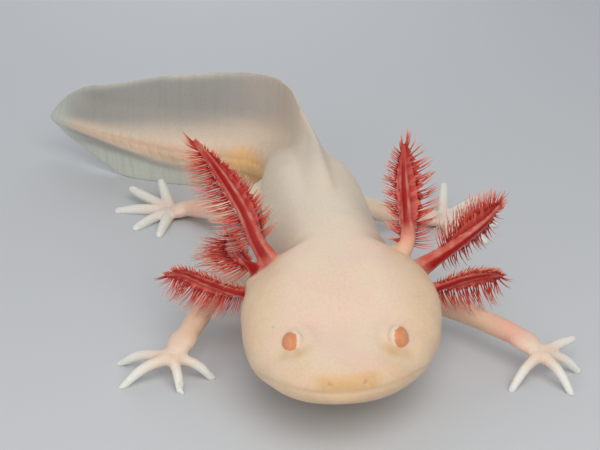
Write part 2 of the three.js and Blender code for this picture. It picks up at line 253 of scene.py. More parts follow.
# ---------------------------------------------------------------- curves
def profile(*pairs):
    """A smooth curve through (position, value) pairs, level beyond them, without overshoot."""
    x, y = np.array(pairs, float).T
    slope = np.diff(y) / np.diff(x)
    product = slope[:-1] * slope[1:]
    same = product > 0
    tangent = np.zeros(len(x))
    tangent[1:-1][same] = 2 * product[same] / (slope[:-1] + slope[1:])[same]

    def value(s):
        s = np.clip(s, x[0], x[-1])
        i = np.clip(np.searchsorted(x, s, side="right") - 1, 0, len(x) - 2)
        span = x[i + 1] - x[i]
        t = (s - x[i]) / span
        leave = tangent[i] * span * (t**3 - 2 * t**2 + t)
        arrive = tangent[i + 1] * span * (t**3 - t**2)
        rise = 3 * t**2 - 2 * t**3
        return y[i] * (1 - rise) + y[i + 1] * rise + leave + arrive

    return value


def unit(vectors):
    """Vectors made one long."""
    vectors = np.asarray(vectors, float)
    return vectors / np.linalg.norm(vectors, axis=-1, keepdims=True)


class Line:
    """A smooth curve through points, known by the length along it in mm."""

    def __init__(self, points, steps=40):
        knots = np.array(points, float)
        before, after = 2 * knots[0] - knots[1], 2 * knots[-1] - knots[-2]
        knots = np.vstack([before, knots, after])
        gaps = np.sqrt(np.linalg.norm(np.diff(knots, axis=0), axis=1))
        t = np.linspace(0, 1, steps, endpoint=False)[:, None]
        spans = []
        for i in range(1, len(knots) - 2):
            a, b, c, d = knots[i - 1 : i + 3]
            ab, bc, cd = gaps[i - 1 : i + 2]
            leave = bc * ((b - a) / ab - (c - a) / (ab + bc) + (c - b) / bc)
            arrive = bc * ((c - b) / bc - (d - b) / (bc + cd) + (d - c) / cd)
            square = 3 * (c - b) - 2 * leave - arrive
            cube = 2 * (b - c) + leave + arrive
            spans.append(b + leave * t + square * t**2 + cube * t**3)
        self.samples = np.vstack([*spans, knots[-2:-1]])
        steps_long = np.linalg.norm(np.diff(self.samples, axis=0), axis=1)
        self.s = np.concatenate([[0.0], np.cumsum(steps_long)])
        self.length = self.s[-1]
        self.ways = unit(np.gradient(self.samples, self.s, axis=0))

    def at(self, s):
        """The places at lengths s."""
        return np.stack([np.interp(s, self.s, column) for column in self.samples.T], -1)

    def way(self, s):
        """The directions at lengths s."""
        return unit(np.stack([np.interp(s, self.s, column) for column in self.ways.T], -1))

    def near(self, places, flat=False, stride=4, batch=20000):
        """The length to each place's nearest point. Flat looks straight down."""
        axes = 2 if flat else 3
        samples = self.samples[::stride, :axes]
        nearest = np.empty(len(places), int)
        for start in range(0, len(places), batch):
            part = places[start : start + batch, None, :axes]
            nearest[start : start + batch] = ((part - samples) ** 2).sum(2).argmin(1)
        nearest *= stride
        past = (places - self.samples[nearest])[:, :axes] * self.ways[nearest][:, :axes]
        return np.clip(self.s[nearest] + past.sum(1), 0, self.length)


def across(way, upward):
    """The sideways and upward directions of a section across a line."""
    side = unit(np.cross(way, upward))
    return side, np.cross(side, way)


def rounded(s, cap):
    """How full a rounded end is, at a distance s into a cap of the given length."""
    return np.sqrt(np.clip(1 - (1 - np.minimum(s, cap) / cap) ** 2, 0, 1))


def fade(value, low, high):
    """0 at low and 1 at high, smoothly."""
    t = np.clip((value - low) / (high - low), 0, 1)
    return t * t * (3 - 2 * t)


def hump(value, centre, width):
    """A smooth hump, 1 at its centre."""
    return np.exp(-(((value - centre) / width) ** 2))


def spot(places, centre, radius):
    """A smooth round spot about a place; radius may differ along each axis."""
    return np.exp(-(((places - np.array(centre)) / radius) ** 2).sum(1))


def distance(places, centre):
    """How far each place is from a point, or from its own point of a line."""
    return np.linalg.norm(places - np.array(centre), axis=1)


# ---------------------------------------------------------------- the body's sizes, in mm
SPINE = Line(SPINE_POINTS)
LENGTH = SPINE.length
# The tail's flesh reaches as far above the spine as below it.
TAIL_TAPER = ((158, 7), (176, 6), (192, 4.9), (204, 3.4), (216, 2.2), (LENGTH, 1.2))
FIN_TIP = ((LENGTH - 5, 5.6), (LENGTH - 2.4, 3.8))
body_side = profile(
    (0, 17.5), (9, 17.8), (17, 20.6), (27, 23.2), (35, 24), (42, 23.2), (48, 19.6), (54, 15.2),
    (62, 13.8), (82, 14.8), (104, 14.6), (122, 13), (134, 10.6), (148, 7.6), (166, 5.4), (190, 4),
    (204, 2.8), (216, 2), (LENGTH, 1.1),
)
body_up = profile(
    (0, 4.6), (9, 5.7), (17, 7.7), (27, 11.1), (38, 12.8), (50, 12.6), (70, 13.4), (100, 14.2),
    (122, 12.2), (138, 9.2), *TAIL_TAPER,
)
body_down = profile(
    (0, 4.4), (5, 5.8), (10, 7.5), (18, 9.2), (27, 10.9), (38, 11.6), (52, 11.4), (70, 12.8),
    (96, 13), (120, 11), (138, 8.6), *TAIL_TAPER,
)
fin_top = profile(
    (CREST_START, 12), (84, 15.4), (104, 17.2), (116, 20.4), (126, 24.6), (136, 27), (144, 27.4),
    (152, 28.6), (162, 28.8), (176, 27.8), (192, 25.6), (208, 20), (216, 17.4), (224, 14.8),
    (LENGTH - 16, 11.6), (LENGTH - 9, 8), *FIN_TIP, (LENGTH - 1, 2.4),
)
fin_bottom = profile(
    (LOWER_FIN_START, 5), (148, 11.4), (158, 13), (176, 13.4), (190, 13.8), (208, 15.2),
    (216, 13), (224, 10.8), (LENGTH - 16, 8.8), (LENGTH - 9, 7.2), *FIN_TIP, (LENGTH - 1, 2.2),
)
mouth_height = profile((-82, 16.9), (-77, 16.5), (-70, 15), (-63, 13.2), (-59, 12.9), (-55, 13.6))
roll_at = profile((44, HEAD_ROLL), (74, 0))


def body_upward(s):
    """The direction a section of the body stands in."""
    roll = roll_at(s)
    return np.stack([-np.sin(roll), np.zeros_like(roll), np.cos(roll)], -1)


def body_section(s):
    """The body's reach to the side, up and down, at lengths s."""
    tail = rounded(LENGTH - s, TAIL_CAP)
    thin = np.sqrt(rounded(s, SNOUT_THIN_CAP)) * tail
    return body_side(s) * rounded(s, SNOUT_CAP) * tail, body_up(s) * thin, body_down(s) * thin


# ---------------------------------------------------------------- meshes
def to_mesh(bm, name):
    """A new mesh from a bmesh, with its faces outwards."""
    bmesh.ops.recalc_face_normals(bm, faces=bm.faces)
    mesh = bpy.data.meshes.new(name)
    bm.to_mesh(mesh)
    bm.free()
    return mesh


def joined(parts, name):
    """One mesh of several, with every face outwards."""
    bm = bmesh.new()
    for part in parts:
        bm.from_mesh(part)
        bpy.data.meshes.remove(part)
    return to_mesh(bm, name)


def point_values(mesh, field):
    """A vector that a mesh keeps for each of its points: its place or its normal."""
    values = np.empty(len(mesh.vertices) * 3)
    mesh.vertices.foreach_get(field, values)
    return values.reshape(-1, 3)


def coordinates(mesh):
    """The places of a mesh's points."""
    return point_values(mesh, "co")


def move_points(mesh, places):
    """Puts a mesh's points at new places."""
    mesh.vertices.foreach_set("co", places.ravel())
    mesh.update()


def write_attribute(mesh, name, values, vector=False):
    """Stores a number or a vector for each point, which the material reads by name."""
    made = mesh.attributes.new(name, "FLOAT_VECTOR" if vector else "FLOAT", "POINT")
    field = "vector" if vector else "value"
    made.data.foreach_set(field, np.asarray(values, np.float32).ravel())


def after_modifier(mesh, kind, **settings):
    """The mesh that one modifier makes of another mesh."""
    helper = bpy.data.objects.new("helper", mesh)
    bpy.context.collection.objects.link(helper)
    modifier = helper.modifiers.new(kind.title(), kind)
    for name, value in settings.items():
        setattr(modifier, name, value)
    graph = bpy.context.evaluated_depsgraph_get()
    made = bpy.data.meshes.new_from_object(helper.evaluated_get(graph))
    bpy.data.objects.remove(helper)
    bpy.data.meshes.remove(mesh)
    return made


def smoothed(mesh, chosen, rounds):
    """Evens out the chosen points of a mesh."""
    bm = bmesh.new()
    bm.from_mesh(mesh)
    bm.verts.ensure_lookup_table()
    verts = [bm.verts[i] for i in np.flatnonzero(chosen)]
    axes = {"use_axis_x": True, "use_axis_y": True, "use_axis_z": True}
    for _ in range(rounds):
        bmesh.ops.smooth_vert(bm, verts=verts, factor=0.5, **axes)
    bm.to_mesh(mesh)
    bm.free()
    mesh.update()


CROWDING = 0.8  # how far a loft's rings crowd towards its two ends


def loft(line, section, rings, sides, start=0.0, stop=None, square=2.0, upward=None):
    """A sphere wrapped along a line; section(s) gives its reach to the side, up and down.

    Square is 2 for an ellipse and more for a boxier section, and the reach to the side may itself
    be a function of the place along the line and the height.
    """
    stop = line.length if stop is None else stop
    bm = bmesh.new()
    bmesh.ops.create_uvsphere(bm, u_segments=sides, v_segments=rings, radius=1.0)
    mesh = to_mesh(bm, "loft")
    sphere = coordinates(mesh)
    share = np.arccos(np.clip(sphere[:, 2], -1, 1)) / math.pi
    share -= CROWDING * np.sin(2 * math.pi * share) / (2 * math.pi)
    s = start + (stop - start) * share
    flat = np.hypot(sphere[:, 0], sphere[:, 1])
    turn = sphere[:, :2] / np.maximum(flat, 1e-9)[:, None] * (flat > 1e-4)[:, None]
    turn = np.sign(turn) * np.abs(turn) ** (2 / square)
    side, up = across(line.way(s), UP if upward is None else upward(s))
    reach, rise, drop = section(s)
    rise = np.where(turn[:, 1] > 0, rise, drop) * turn[:, 1]
    reach = reach(s, rise) if callable(reach) else reach
    move_points(mesh, line.at(s) + side * (reach * turn[:, 0])[:, None] + up * rise[:, None])
    return mesh


def radius_along(length, radii):
    """A radius as a curve along a line, from its values at equal shares of the length."""
    return profile(*zip(np.linspace(0, length, len(radii)), radii))


def limb(points, radii, rings, sides, flat=1.0):
    """A round limb, toe or stalk, with its radius given at equal shares of its length."""
    line = Line(points, steps=24)
    radius = radius_along(line.length, radii)

    def section(s):
        r = radius(s) * rounded(s, radii[0]) * rounded(line.length - s, radii[-1])
        return r, r * flat, r * flat

    return loft(line, section, rings, sides)


def ball(centre, radius):
    """A closed ball of flesh."""
    bm = bmesh.new()
    bmesh.ops.create_uvsphere(bm, u_segments=32, v_segments=20, radius=radius)
    bmesh.ops.translate(bm, verts=bm.verts, vec=Vector(centre))
    return to_mesh(bm, "ball")


def frame_shift():
    """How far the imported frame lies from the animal's lines, from the two eyes, in mm."""
    gaps = []
    for side, centre in EYES.items():
        low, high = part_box(f"{side}_eye")
        gaps.append(np.array((low + high) / 2) / MM - centre)
    shift = np.mean(gaps, axis=0)
    shift[2] = 0
    return shift


SHIFT = frame_shift()


def in_frame(places):
    """Places in the animal's own mm, as places in the frame's metres."""
    return (np.array(places) + SHIFT) * MM


def settle(mesh, name, material):
    """Makes an object of a mesh in the animal's own mm, in the frame's metres."""
    move_points(mesh, in_frame(coordinates(mesh)))
    mesh.name = name
    mesh.shade_smooth()
    mesh.materials.clear()
    mesh.materials.append(material)
    made = bpy.data.objects.new(name, mesh)
    bpy.context.collection.objects.link(made)
    return made


# ---------------------------------------------------------------- materials
def rgba(colour):
    """A colour with full alpha, or the socket it comes from."""
    if isinstance(colour, bpy.types.NodeSocket):
        return colour
    return (*colour, 1.0)


class Shader:
    """A material's nodes, with a short call for each kind used here."""

    def __init__(self, name):
        self.material = bpy.data.materials.new(name)
        self.material.use_nodes = True
        self.tree = self.material.node_tree
        self.surface = self.tree.nodes["Principled BSDF"]

    def plug(self, socket, value):
        """Links a socket to an input, or sets the input's value."""
        if isinstance(value, bpy.types.NodeSocket):
            self.tree.links.new(value, socket)
        else:
            socket.default_value = value

    def node(self, kind, inputs, **settings):
        """A new node of a kind, with its inputs by name or number."""
        made = self.tree.nodes.new(f"ShaderNode{kind}")
        for name, value in settings.items():
            setattr(made, name, value)
        for key, value in inputs.items():
            self.plug(made.inputs[key], value)
        return made

    def set(self, **values):
        """Sets the surface's inputs, with _ for each space of a name."""
        for name, value in values.items():
            self.plug(self.surface.inputs[name.replace("_", " ")], value)

    def place(self):
        """The place on the piece, in metres."""
        return self.node("TexCoord", {}).outputs["Object"]

    def attribute(self, name, output="Fac"):
        """A value stored at the mesh's points."""
        return self.node("Attribute", {}, attribute_name=name).outputs[output]

    def noise(self, vector, scale, detail=2.0, roughness=0.5):
        """Soft noise from 0 to 1."""
        inputs = {"Vector": vector, "Scale": scale, "Detail": detail, "Roughness": roughness}
        return self.node("TexNoise", inputs).outputs["Fac"]

    def cells(self, vector, scale, output="Distance", **settings):
        """A scatter of cells: the distance from the nearest middle, or another output."""
        inputs = {"Vector": vector, "Scale": scale}
        return self.node("TexVoronoi", inputs, **settings).outputs[output]

    def range(self, value, low, high, to_low=0.0, to_high=1.0):
        """A value carried smoothly from one range to another."""
        inputs = {"Value": value, "From Min": low, "From Max": high}
        inputs.update({"To Min": to_low, "To Max": to_high})
        made = self.node("MapRange", inputs, interpolation_type="SMOOTHSTEP")
        return made.outputs["Result"]

    def math(self, operation, first, second):
        """The result of a Math node."""
        return self.node("Math", {0: first, 1: second}, operation=operation).outputs[0]

    def times(self, first, second):
        """A product."""
        return self.math("MULTIPLY", first, second)

    def plus(self, first, second):
        """A sum."""
        return self.math("ADD", first, second)

    def mix(self, factor, first, second, blend="MIX"):
        """One colour over another."""
        inputs = {0: factor, 6: rgba(first), 7: rgba(second)}
        made = self.node("Mix", inputs, data_type="RGBA", blend_type=blend)
        return made.outputs[2]

    def shaded(self, colour, share):
        """A colour made darker or lighter, by a share of it."""
        grey = self.node("CombineColor", {0: share, 1: share, 2: share}).outputs[0]
        return self.mix(1.0, colour, grey, "MULTIPLY")

    def stretched(self, vector, scale):
        """Places scaled along each axis."""
        made = self.node("Mapping", {"Vector": vector, "Scale": scale})
        return made.outputs["Vector"]

    def bump(self, height, strength, distance):
        """A normal tilted by a height; distance is in metres."""
        inputs = {"Height": height, "Strength": strength, "Distance": distance}
        return self.node("Bump", inputs).outputs["Normal"]


# Scales of the skin's patterns, in parts to a metre.
BLOTCH_SCALE = 95
SPECK_SCALE = 210
PATCH_SCALE = 330
PORE_SCALE = 1150
GRAIN_SCALE = 1500


def skin_material(settings):
    """Moist, softly mottled skin whose zones take their colours from the settings."""
    shader = Shader("axolotl_skin")
    place = shader.place()
    blotchy = shader.noise(place, BLOTCH_SCALE, 2.0)
    patchy = shader.noise(place, PATCH_SCALE, 3.0)
    grain = shader.noise(place, GRAIN_SCALE, 3.0, 0.6)
    ragged = shader.range(patchy, 0.3, 0.7, 0.72, 1.1)
    colour = shader.mix(shader.range(blotchy, 0.36, 0.64), settings.cream, settings.pink)
    for zone in ZONES:
        mask = shader.times(shader.attribute(zone), ragged if zone in RAGGED_ZONES else 1.0)
        colour = shader.mix(mask, colour, getattr(settings, zone))

    # Faint streaks stand across the fins.
    fin = shader.attribute("fin")
    along = shader.stretched(shader.attribute("body_place", "Vector"), (0.42, 0.02, 0.02))
    streak = shader.range(shader.noise(along, 1.0, 3.0, 0.6), 0.45, 0.75, 0.0, 0.25)
    colour = shader.mix(shader.times(fin, streak), colour, settings.fin_streak)

    # Fine mottling, and a dark speck in a few of the cells.
    colour = shader.shaded(colour, shader.range(grain, 0.3, 0.7, 0.965, 1.03))
    speck = shader.range(shader.cells(place, SPECK_SCALE), 0.045, 0.075, 1.0, 0.0)
    chosen = shader.range(shader.cells(place, SPECK_SCALE, "Color"), 0.86, 0.9)
    colour = shader.mix(shader.times(shader.times(speck, chosen), 0.5), colour, settings.speck)

    pores = shader.cells(place, PORE_SCALE, feature="SMOOTH_F1")
    height = shader.plus(shader.times(pores, 0.5), shader.times(grain, 0.35))
    height = shader.plus(height, shader.times(patchy, 0.45))
    shader.set(
        Base_Color=colour,
        Roughness=shader.range(patchy, 0.3, 0.7, 0.42, 0.54),
        Normal=shader.bump(height, 0.14, 0.0002),
        Subsurface_Weight=0.32,
        Subsurface_Radius=(1.0, 0.42, 0.26),
        Subsurface_Scale=0.0026,
        Specular_IOR_Level=0.28,
        Coat_Weight=0.05,
        Coat_Roughness=0.2,
    )
    return shader.material


def gill_material(settings):
    """Blood-red filaments that pale towards their tips, and the paler web between them."""
    shader = Shader("gill_filament")
    reach = shader.attribute("reach")
    vary = shader.attribute("vary")
    grain = shader.noise(shader.place(), 900, 2.0)
    colour = shader.mix(shader.range(reach, 0.02, 0.3), settings.root, settings.middle)
    colour = shader.mix(shader.range(reach, 0.3, 1.0, 0.0, 0.95), colour, settings.tip)
    web = shader.mix(shader.range(reach, 0.1, 1.0), settings.root, settings.web)
    colour = shader.mix(shader.attribute("web"), colour, web)
    dark = shader.range(vary, 0.0, 1.0, 0.72, 1.12)
    dark = shader.times(dark, shader.range(grain, 0.3, 0.7, 0.88, 1.1))
    shader.set(
        Base_Color=shader.shaded(colour, dark),
        Roughness=shader.range(grain, 0.3, 0.7, 0.34, 0.46),
        Normal=shader.bump(grain, 0.2, 0.0001),
        Subsurface_Weight=0.2,
        Subsurface_Radius=(1.0, 0.15, 0.12),
        Subsurface_Scale=0.0007,
        Specular_IOR_Level=0.3,
        Coat_Weight=0.08,
        Coat_Roughness=0.15,
    )
    return shader.material


def eye_material(settings):
    """An unpigmented eye: a salmon iris with fine spokes, a pink middle and a darker edge."""
    shader = Shader("eye_salmon")
    polar = shader.attribute("polar")
    spokes = shader.noise(shader.attribute("spoke", "Vector"), 2.6, 3.0, 0.65)
    grain = shader.noise(shader.place(), 2400, 2.0)
    edge = shader.plus(polar, shader.times(spokes, 0.12))
    colour = shader.mix(shader.range(edge, 0.24, 0.42), settings.pupil, settings.iris)
    colour = shader.mix(shader.range(spokes, 0.4, 0.68, 0.0, 0.45), colour, settings.spoke)
    colour = shader.mix(shader.range(edge, 0.66, 0.84), colour, settings.edge)
    colour = shader.mix(shader.range(polar, 1.04, 1.2), colour, settings.white)
    shader.set(
        Base_Color=colour,
        Roughness=shader.range(grain, 0.3, 0.7, 0.32, 0.42),
        Normal=shader.bump(spokes, 0.1, 0.0001),
        Subsurface_Weight=0.2,
        Subsurface_Radius=(1.0, 0.4, 0.25),
        Subsurface_Scale=0.0008,
        Specular_IOR_Level=0.3,
        Coat_Weight=0.2,
        Coat_Roughness=0.08,
    )
    return shader.material


# ---------------------------------------------------------------- skin: rough shape
FIN_RIM = 0.8  # half the thickness of a fin at its rim
FIN_FLARE = 2.4  # more of it where the fin leaves the flesh
SOFT_RIM = 0.85  # more of both where the crest is a soft ridge
SOFT_FLARE = 4.4
FIN_RIPPLES = ((1.0, 7.5, 0.0), (0.6, 3.9, 1.0))  # strength, length and phase


def fin_part(start, top, bottom, shoulder, rings):
    """A fin that is broad where it leaves the body and thins to its rim."""

    def width(s, rise):
        proud = np.abs(rise) - 0.86 * shoulder(s)
        soft = 1 - fade(s, 108, TAIL_START)
        flare = (FIN_FLARE + SOFT_FLARE * soft) * fade(s, start, start + 14)
        return FIN_RIM + SOFT_RIM * soft + flare * np.exp(-np.maximum(proud, 0) / (2.6 + soft))

    def section(s):
        return width, top(s), bottom(s)

    mesh = loft(SPINE, section, rings, 64, start=start, stop=LENGTH - 1, square=3.0)
    places = coordinates(mesh)
    s = SPINE.near(places, flat=True)
    side, _ = across(SPINE.way(s), UP)
    height = np.abs(places[:, 2] - SPINE.at(s)[:, 2])
    ripple = sum(strength * np.sin(s / long + phase) for strength, long, phase in FIN_RIPPLES)
    wave = 0.5 * fade(height, 7, 26) * ripple * fade(s, start + 30, start + 60)
    lean = 0.35 * np.maximum(height - 0.8 * shoulder(s), 0) * (1 - fade(s, 106, 128))
    move_points(mesh, places + side * (wave + lean)[:, None])
    return mesh


def leg_parts(leg):
    """A leg's shaft, its flat palm and its toes."""
    line = Line(leg["points"], steps=24)
    width, height = leg["palm"]

    def pad(s):
        share = (s / line.length - ANKLE) / (1 - ANKLE)
        bulge = np.sqrt(np.clip(1 - (2 * share - 1) ** 2, 0, 1))
        return width * bulge, height * bulge, height * bulge

    yield limb(leg["points"], leg["radii"], rings=50, sides=28, flat=0.9)
    yield loft(line, pad, rings=20, sides=24, start=ANKLE * line.length)
    for points in toe_lines(leg):
        yield limb(points, leg["toe_radii"], rings=26, sides=16)


KNUCKLE = 0.55  # the share of a toe at which it arches


def toe_lines(leg):
    """Each toe's points: the palm, an arched knuckle and the tip."""
    palm = np.array(leg["points"][-1], float)
    for tip in np.array(leg["tips"], float):
        knuckle = palm + KNUCKLE * (tip - palm)
        knuckle[2] = 0.35 * tip[2] + 0.62 * palm[2] + 0.5
        yield [palm, knuckle, tip]


def stalk_radii(gill):
    """A gill stalk's radius at equal shares of its length."""
    return [radius * gill.get("girth", 1) for radius in STALK_RADII]


def stalk_width(gill, s):
    """A gill stalk's radius at lengths s along it."""
    return radius_along(Line(gill["points"]).length, stalk_radii(gill))(s)


def eye_mound(centre):
    """The low mound of skin that carries an eye, on its inner side."""
    inward, back, up = MOUND_OFFSET
    inward = math.copysign(inward, SPINE_POINTS[0][0] - centre[0])
    return ball(Vector(centre) + Vector((inward, back, up)), MOUND_RADIUS)


def rough_skin(voxel):
    """All the flesh fused into one closed surface."""
    parts = [
        loft(SPINE, body_section, rings=170, sides=72, square=2.25, upward=body_upward),
        fin_part(CREST_START, fin_top, np.ones_like, body_up, rings=120),
        fin_part(LOWER_FIN_START, np.ones_like, fin_bottom, body_down, rings=90),
    ]
    for gill in GILLS.values():
        parts.append(limb(gill["points"], stalk_radii(gill), rings=50, sides=24))
    parts += [ball(*root) for root in GILL_ROOTS]
    parts += [eye_mound(centre) for centre in EYES.values()]
    parts += [part for leg in LEGS.values() for part in leg_parts(leg)]
    mesh = joined(parts, "rough_skin")
    return after_modifier(mesh, "REMESH", mode="VOXEL", voxel_size=voxel)


# ---------------------------------------------------------------- skin: sculpting
class BodyMap:
    """Where a mesh's points lie: along the spine, to its side and above it, in mm."""

    def __init__(self, places):
        self.places = places
        self.s = SPINE.near(places, flat=True)
        side, up = across(SPINE.way(self.s), body_upward(self.s))
        away = places - SPINE.at(self.s)
        self.side = (away * side).sum(1)
        self.up = (away * up).sum(1)
        self.head = 1 - fade(self.s, HEAD_END - 4, HEAD_END + 6)


def soften_joints(mesh):
    """Rounds the creases where limbs, gills and fins leave the body."""
    places = coordinates(mesh)
    where = BodyMap(places)
    near = np.zeros(len(places), bool)
    for limbs, reach in ((LEGS, 21), (GILLS, 8.5)):
        for part in limbs.values():
            near |= distance(places, part["points"][0]) < reach
    for centre, _ in GILL_ROOTS:
        near |= distance(places, centre) < 11
    behind_neck = where.s > CREST_START - 4
    fin_foot = behind_neck & (np.abs(where.side) < 4.5)
    fin_foot &= np.abs(where.up) < body_up(where.s) + 4
    soft_crest = behind_neck & (where.s < CREST_LOW_END) & (np.abs(where.side) < 8)
    smoothed(mesh, np.ones(len(places), bool), 3)
    smoothed(mesh, near, 14)
    smoothed(mesh, fin_foot, 8)
    smoothed(mesh, fin_share(where) > 0.5, 9)
    smoothed(mesh, soft_crest & (where.up > 6), 60)
    for leg in LEGS.values():
        smoothed(mesh, distance(places, leg["points"][-1]) < 5.2, 5)


def from_middle(places):
    """How far to the side of the face's middle each point lies."""
    return np.abs(places[:, 0] - FACE_MIDDLE)


def mouth_gap(places):
    """How far above the mouth's line each point lies."""
    roll = HEAD_ROLL * (places[:, 0] - SPINE_POINTS[0][0])
    return places[:, 2] - mouth_height(places[:, 1]) - roll


def eye_frame(side):
    """An eye's middle and the way it looks."""
    look = unit(np.array(EYE_LOOK) * (1 if side == "left" else -1, 1, 1))
    return np.array(EYES[side]) - look * EYE_SUNK, look


def eye_angles(places, side):
    """Each point's offset and distance from an eye's middle, and its angle from the look."""
    centre, look = eye_frame(side)
    away = places - centre
    reach = np.linalg.norm(away, axis=1)
    return away, reach, np.degrees(np.arccos(np.clip(away @ look / reach, -1, 1)))


def eye_reach(angle, radius):
    """How far a flattened eye reaches from its middle, at an angle in degrees from its look."""
    turn = np.radians(angle)
    return radius / np.hypot(np.sin(turn), np.cos(turn) / EYE_DEPTH)


def sculpt_eye_rims(places, radius):
    """Opens the skin over each eye, with a soft rim round the ball."""
    for side in EYES:
        away, reach, angle = eye_angles(places, side)
        eye = eye_reach(angle, radius)
        sunk = eye - EYE_TUCK
        rim = eye + LID_HEIGHT * hump(angle, EYE_OPENING + 12, 12)
        wanted = sunk + (rim - sunk) * fade(angle, EYE_OPENING - 9, EYE_OPENING + 2)
        share = (1 - fade(angle, EYE_OPENING + 8, EYE_OPENING + 34)) * (1 - fade(reach, 4.2, 5.4))
        changed = reach + (wanted - reach) * share
        covered = fade(angle, EYE_OPENING, EYE_OPENING + 6)
        changed += covered * np.maximum(eye + LID_GAP - changed, 0)
        places += away / reach[:, None] * (changed - reach)[:, None]


def nostril_spots(places, radius):
    """The two nostrils' round spots, on the snout's front just above the lip."""
    beside = from_middle(places) - NOSTRIL_APART
    above = mouth_gap(places) - NOSTRIL_HEIGHT
    return np.exp(-(beside**2 + above**2) / radius**2) * fade(-places[:, 1], 70, 74)


# The crown's swellings and hollows: height, place and width to each side, and place and length
# along the spine.
CROWN_FORMS = (
    (-0.5, 0, 5.5, 16, 8),  # the dish behind the snout
    (0.45, 10.5, 5, 32, 8),  # the jaw's muscles
    (-0.22, 0, 1.6, 36, 10),  # the parting between them
    (0.2, 8.2, 1.8, 11, 5),  # the brows
)


def sculpt_face(where, lift):
    """Mouth, lips, nostrils and the soft hollows of the head."""
    places = where.places
    gap = mouth_gap(places)
    forward = -places[:, 1]

    # The mouth's slit and upper lip, fainter towards the sides, and a chin set slightly back.
    ahead = fade(forward, 56.5, 61) * where.head
    beside = 1 - 0.5 * fade(from_middle(places), 7, 14)
    slit, lip = -0.22 * hump(gap, 0, 0.36), 0.08 * hump(gap, 1.1, 0.8)
    lift += ahead * beside * (slit + lip)
    lift -= 0.1 * ahead * fade(-gap, 1.5, 4)

    # A hollow in front of each eye, full corners of the mouth, and nostrils with a raised rim.
    for side in EYES:
        centre, look = eye_frame(side)
        lift -= 0.75 * spot(places, centre + (0.4 * np.sign(look[0]), -3, -1.7), 2.2)
    corner = fade(forward, 52, 58) * (1 - fade(forward, 60, 64)) * where.head
    lift += 0.1 * corner * hump(gap, 0.6, 1.6)
    lift += 0.12 * nostril_spots(places, 1.1) - 0.65 * nostril_spots(places, 0.45)

    crown = where.head * fade(where.up, 2, 7)
    for height, aside, width, s, length in CROWN_FORMS:
        lift += crown * height * hump(np.abs(where.side), aside, width) * hump(where.s, s, length)


def sculpt_trunk(where, lift):
    """Folds of the neck and throat, costal grooves, vent and the muscle blocks of the tail."""
    # Costal grooves down each flank.
    aside = np.abs(where.side)
    flank = fade(aside, 6, 10) * (1 - fade(np.abs(where.up + 1), 8, 12))
    trunk = fade(where.s, 70, 78) * (1 - fade(where.s, 116, 124))
    ridge = 0.5 + 0.5 * np.cos(2 * math.pi * (where.s + 0.12 * where.up) / GROOVE_SPACING)
    lift -= 0.32 * flank * trunk * ridge**5

    # The fold across the throat, the neck's folds behind the gills, and the vent.
    below = fade(-where.up, 3, 7)
    throat = THROAT_FOLD - 0.012 * where.side**2
    lift += below * (-0.8 * hump(where.s, throat, 0.8) + 0.4 * hump(where.s, throat - 2, 1.6))
    neck = fade(where.up, 1, 6) * hump(aside, 12.5, 4)
    lift -= 0.9 * neck * hump(where.s, NECK_FOLD, 2.6)
    vent = hump(where.s, VENT, 4) * hump(where.side, 0, 3.2) * fade(-where.up, 4, 7)
    lift += 1.1 * vent - 0.7 * vent * hump(where.side, 0, 0.7)

    # Muscle blocks along the tail, the line between their halves, and a groove beside the crest.
    tail = fade(where.s, TAIL_START, 146) * (1 - fade(where.s, 214, 230))
    muscle = tail * (1 - fade(np.abs(where.up), 0.6 * body_up(where.s), 1.1 * body_up(where.s)))
    bent = where.s + 0.35 * np.abs(where.up)
    lift -= 0.16 * muscle * (0.5 + 0.5 * np.cos(2 * math.pi * bent / BLOCK_SPACING)) ** 4
    lift -= 0.22 * muscle * hump(where.up, 0, 0.8)
    beside_crest = fade(where.s, 74, 84) * (1 - fade(where.s, 112, 122)) * fade(where.up, 6, 9)
    lift -= 0.3 * beside_crest * hump(aside, 4.4, 1.4)


def sculpt_gill_bases(places, lift):
    """A swollen collar round each stalk, and a slit behind it."""
    for gill in GILLS.values():
        base = np.mean(np.array(gill["points"][:2], float), axis=0)
        lift += 0.35 * spot(places, base, 3.4)
        lift -= 0.5 * spot(places, base + (0, 4.2, 0.4), (2.2, 1.1, 2.2))


def sculpt_relief(where, lift):
    """A slight unevenness of the flesh, as live skin has."""
    broad = np.array([noise.noise(Vector(place) * 0.16) for place in where.places])
    fine = np.array([noise.noise(Vector(place) * 0.7) for place in where.places])
    solid = 1 - 0.8 * fin_share(where)
    lift += (0.16 * broad + 0.025 * fine) * solid


def fin_share(where):
    """How far a point belongs to the fins rather than the flesh."""
    blade = 1 - fade(np.abs(where.side), 4.5, 7)
    over = fade(where.up - body_up(where.s), 0, 10) * fade(where.s, CREST_START, 84)
    under = fade(-where.up - body_down(where.s), 0.2, 4) * fade(where.s, LOWER_FIN_START, 148)
    return blade * np.maximum(over, under)


def finished_skin(settings):
    """The skin's mesh, sculpted and thinned to its share of triangles."""
    coarser = 1
    mesh = rough_skin(settings.voxel / MM * coarser)
    soften_joints(mesh)
    places = coordinates(mesh)
    where = BodyMap(places)
    lift = np.zeros(len(places))
    sculpt_face(where, lift)
    sculpt_trunk(where, lift)
    sculpt_gill_bases(places, lift)
    sculpt_relief(where, lift)
    places += point_values(mesh, "normal") * lift[:, None]
    sculpt_eye_rims(places, settings.eye_radius / MM)
    places[:, 2] = np.maximum(places[:, 2], 0)
    move_points(mesh, places)
    triangles = 2 * len(mesh.polygons)
    return after_modifier(mesh, "DECIMATE", ratio=min(1.0, settings.triangles / triangles))


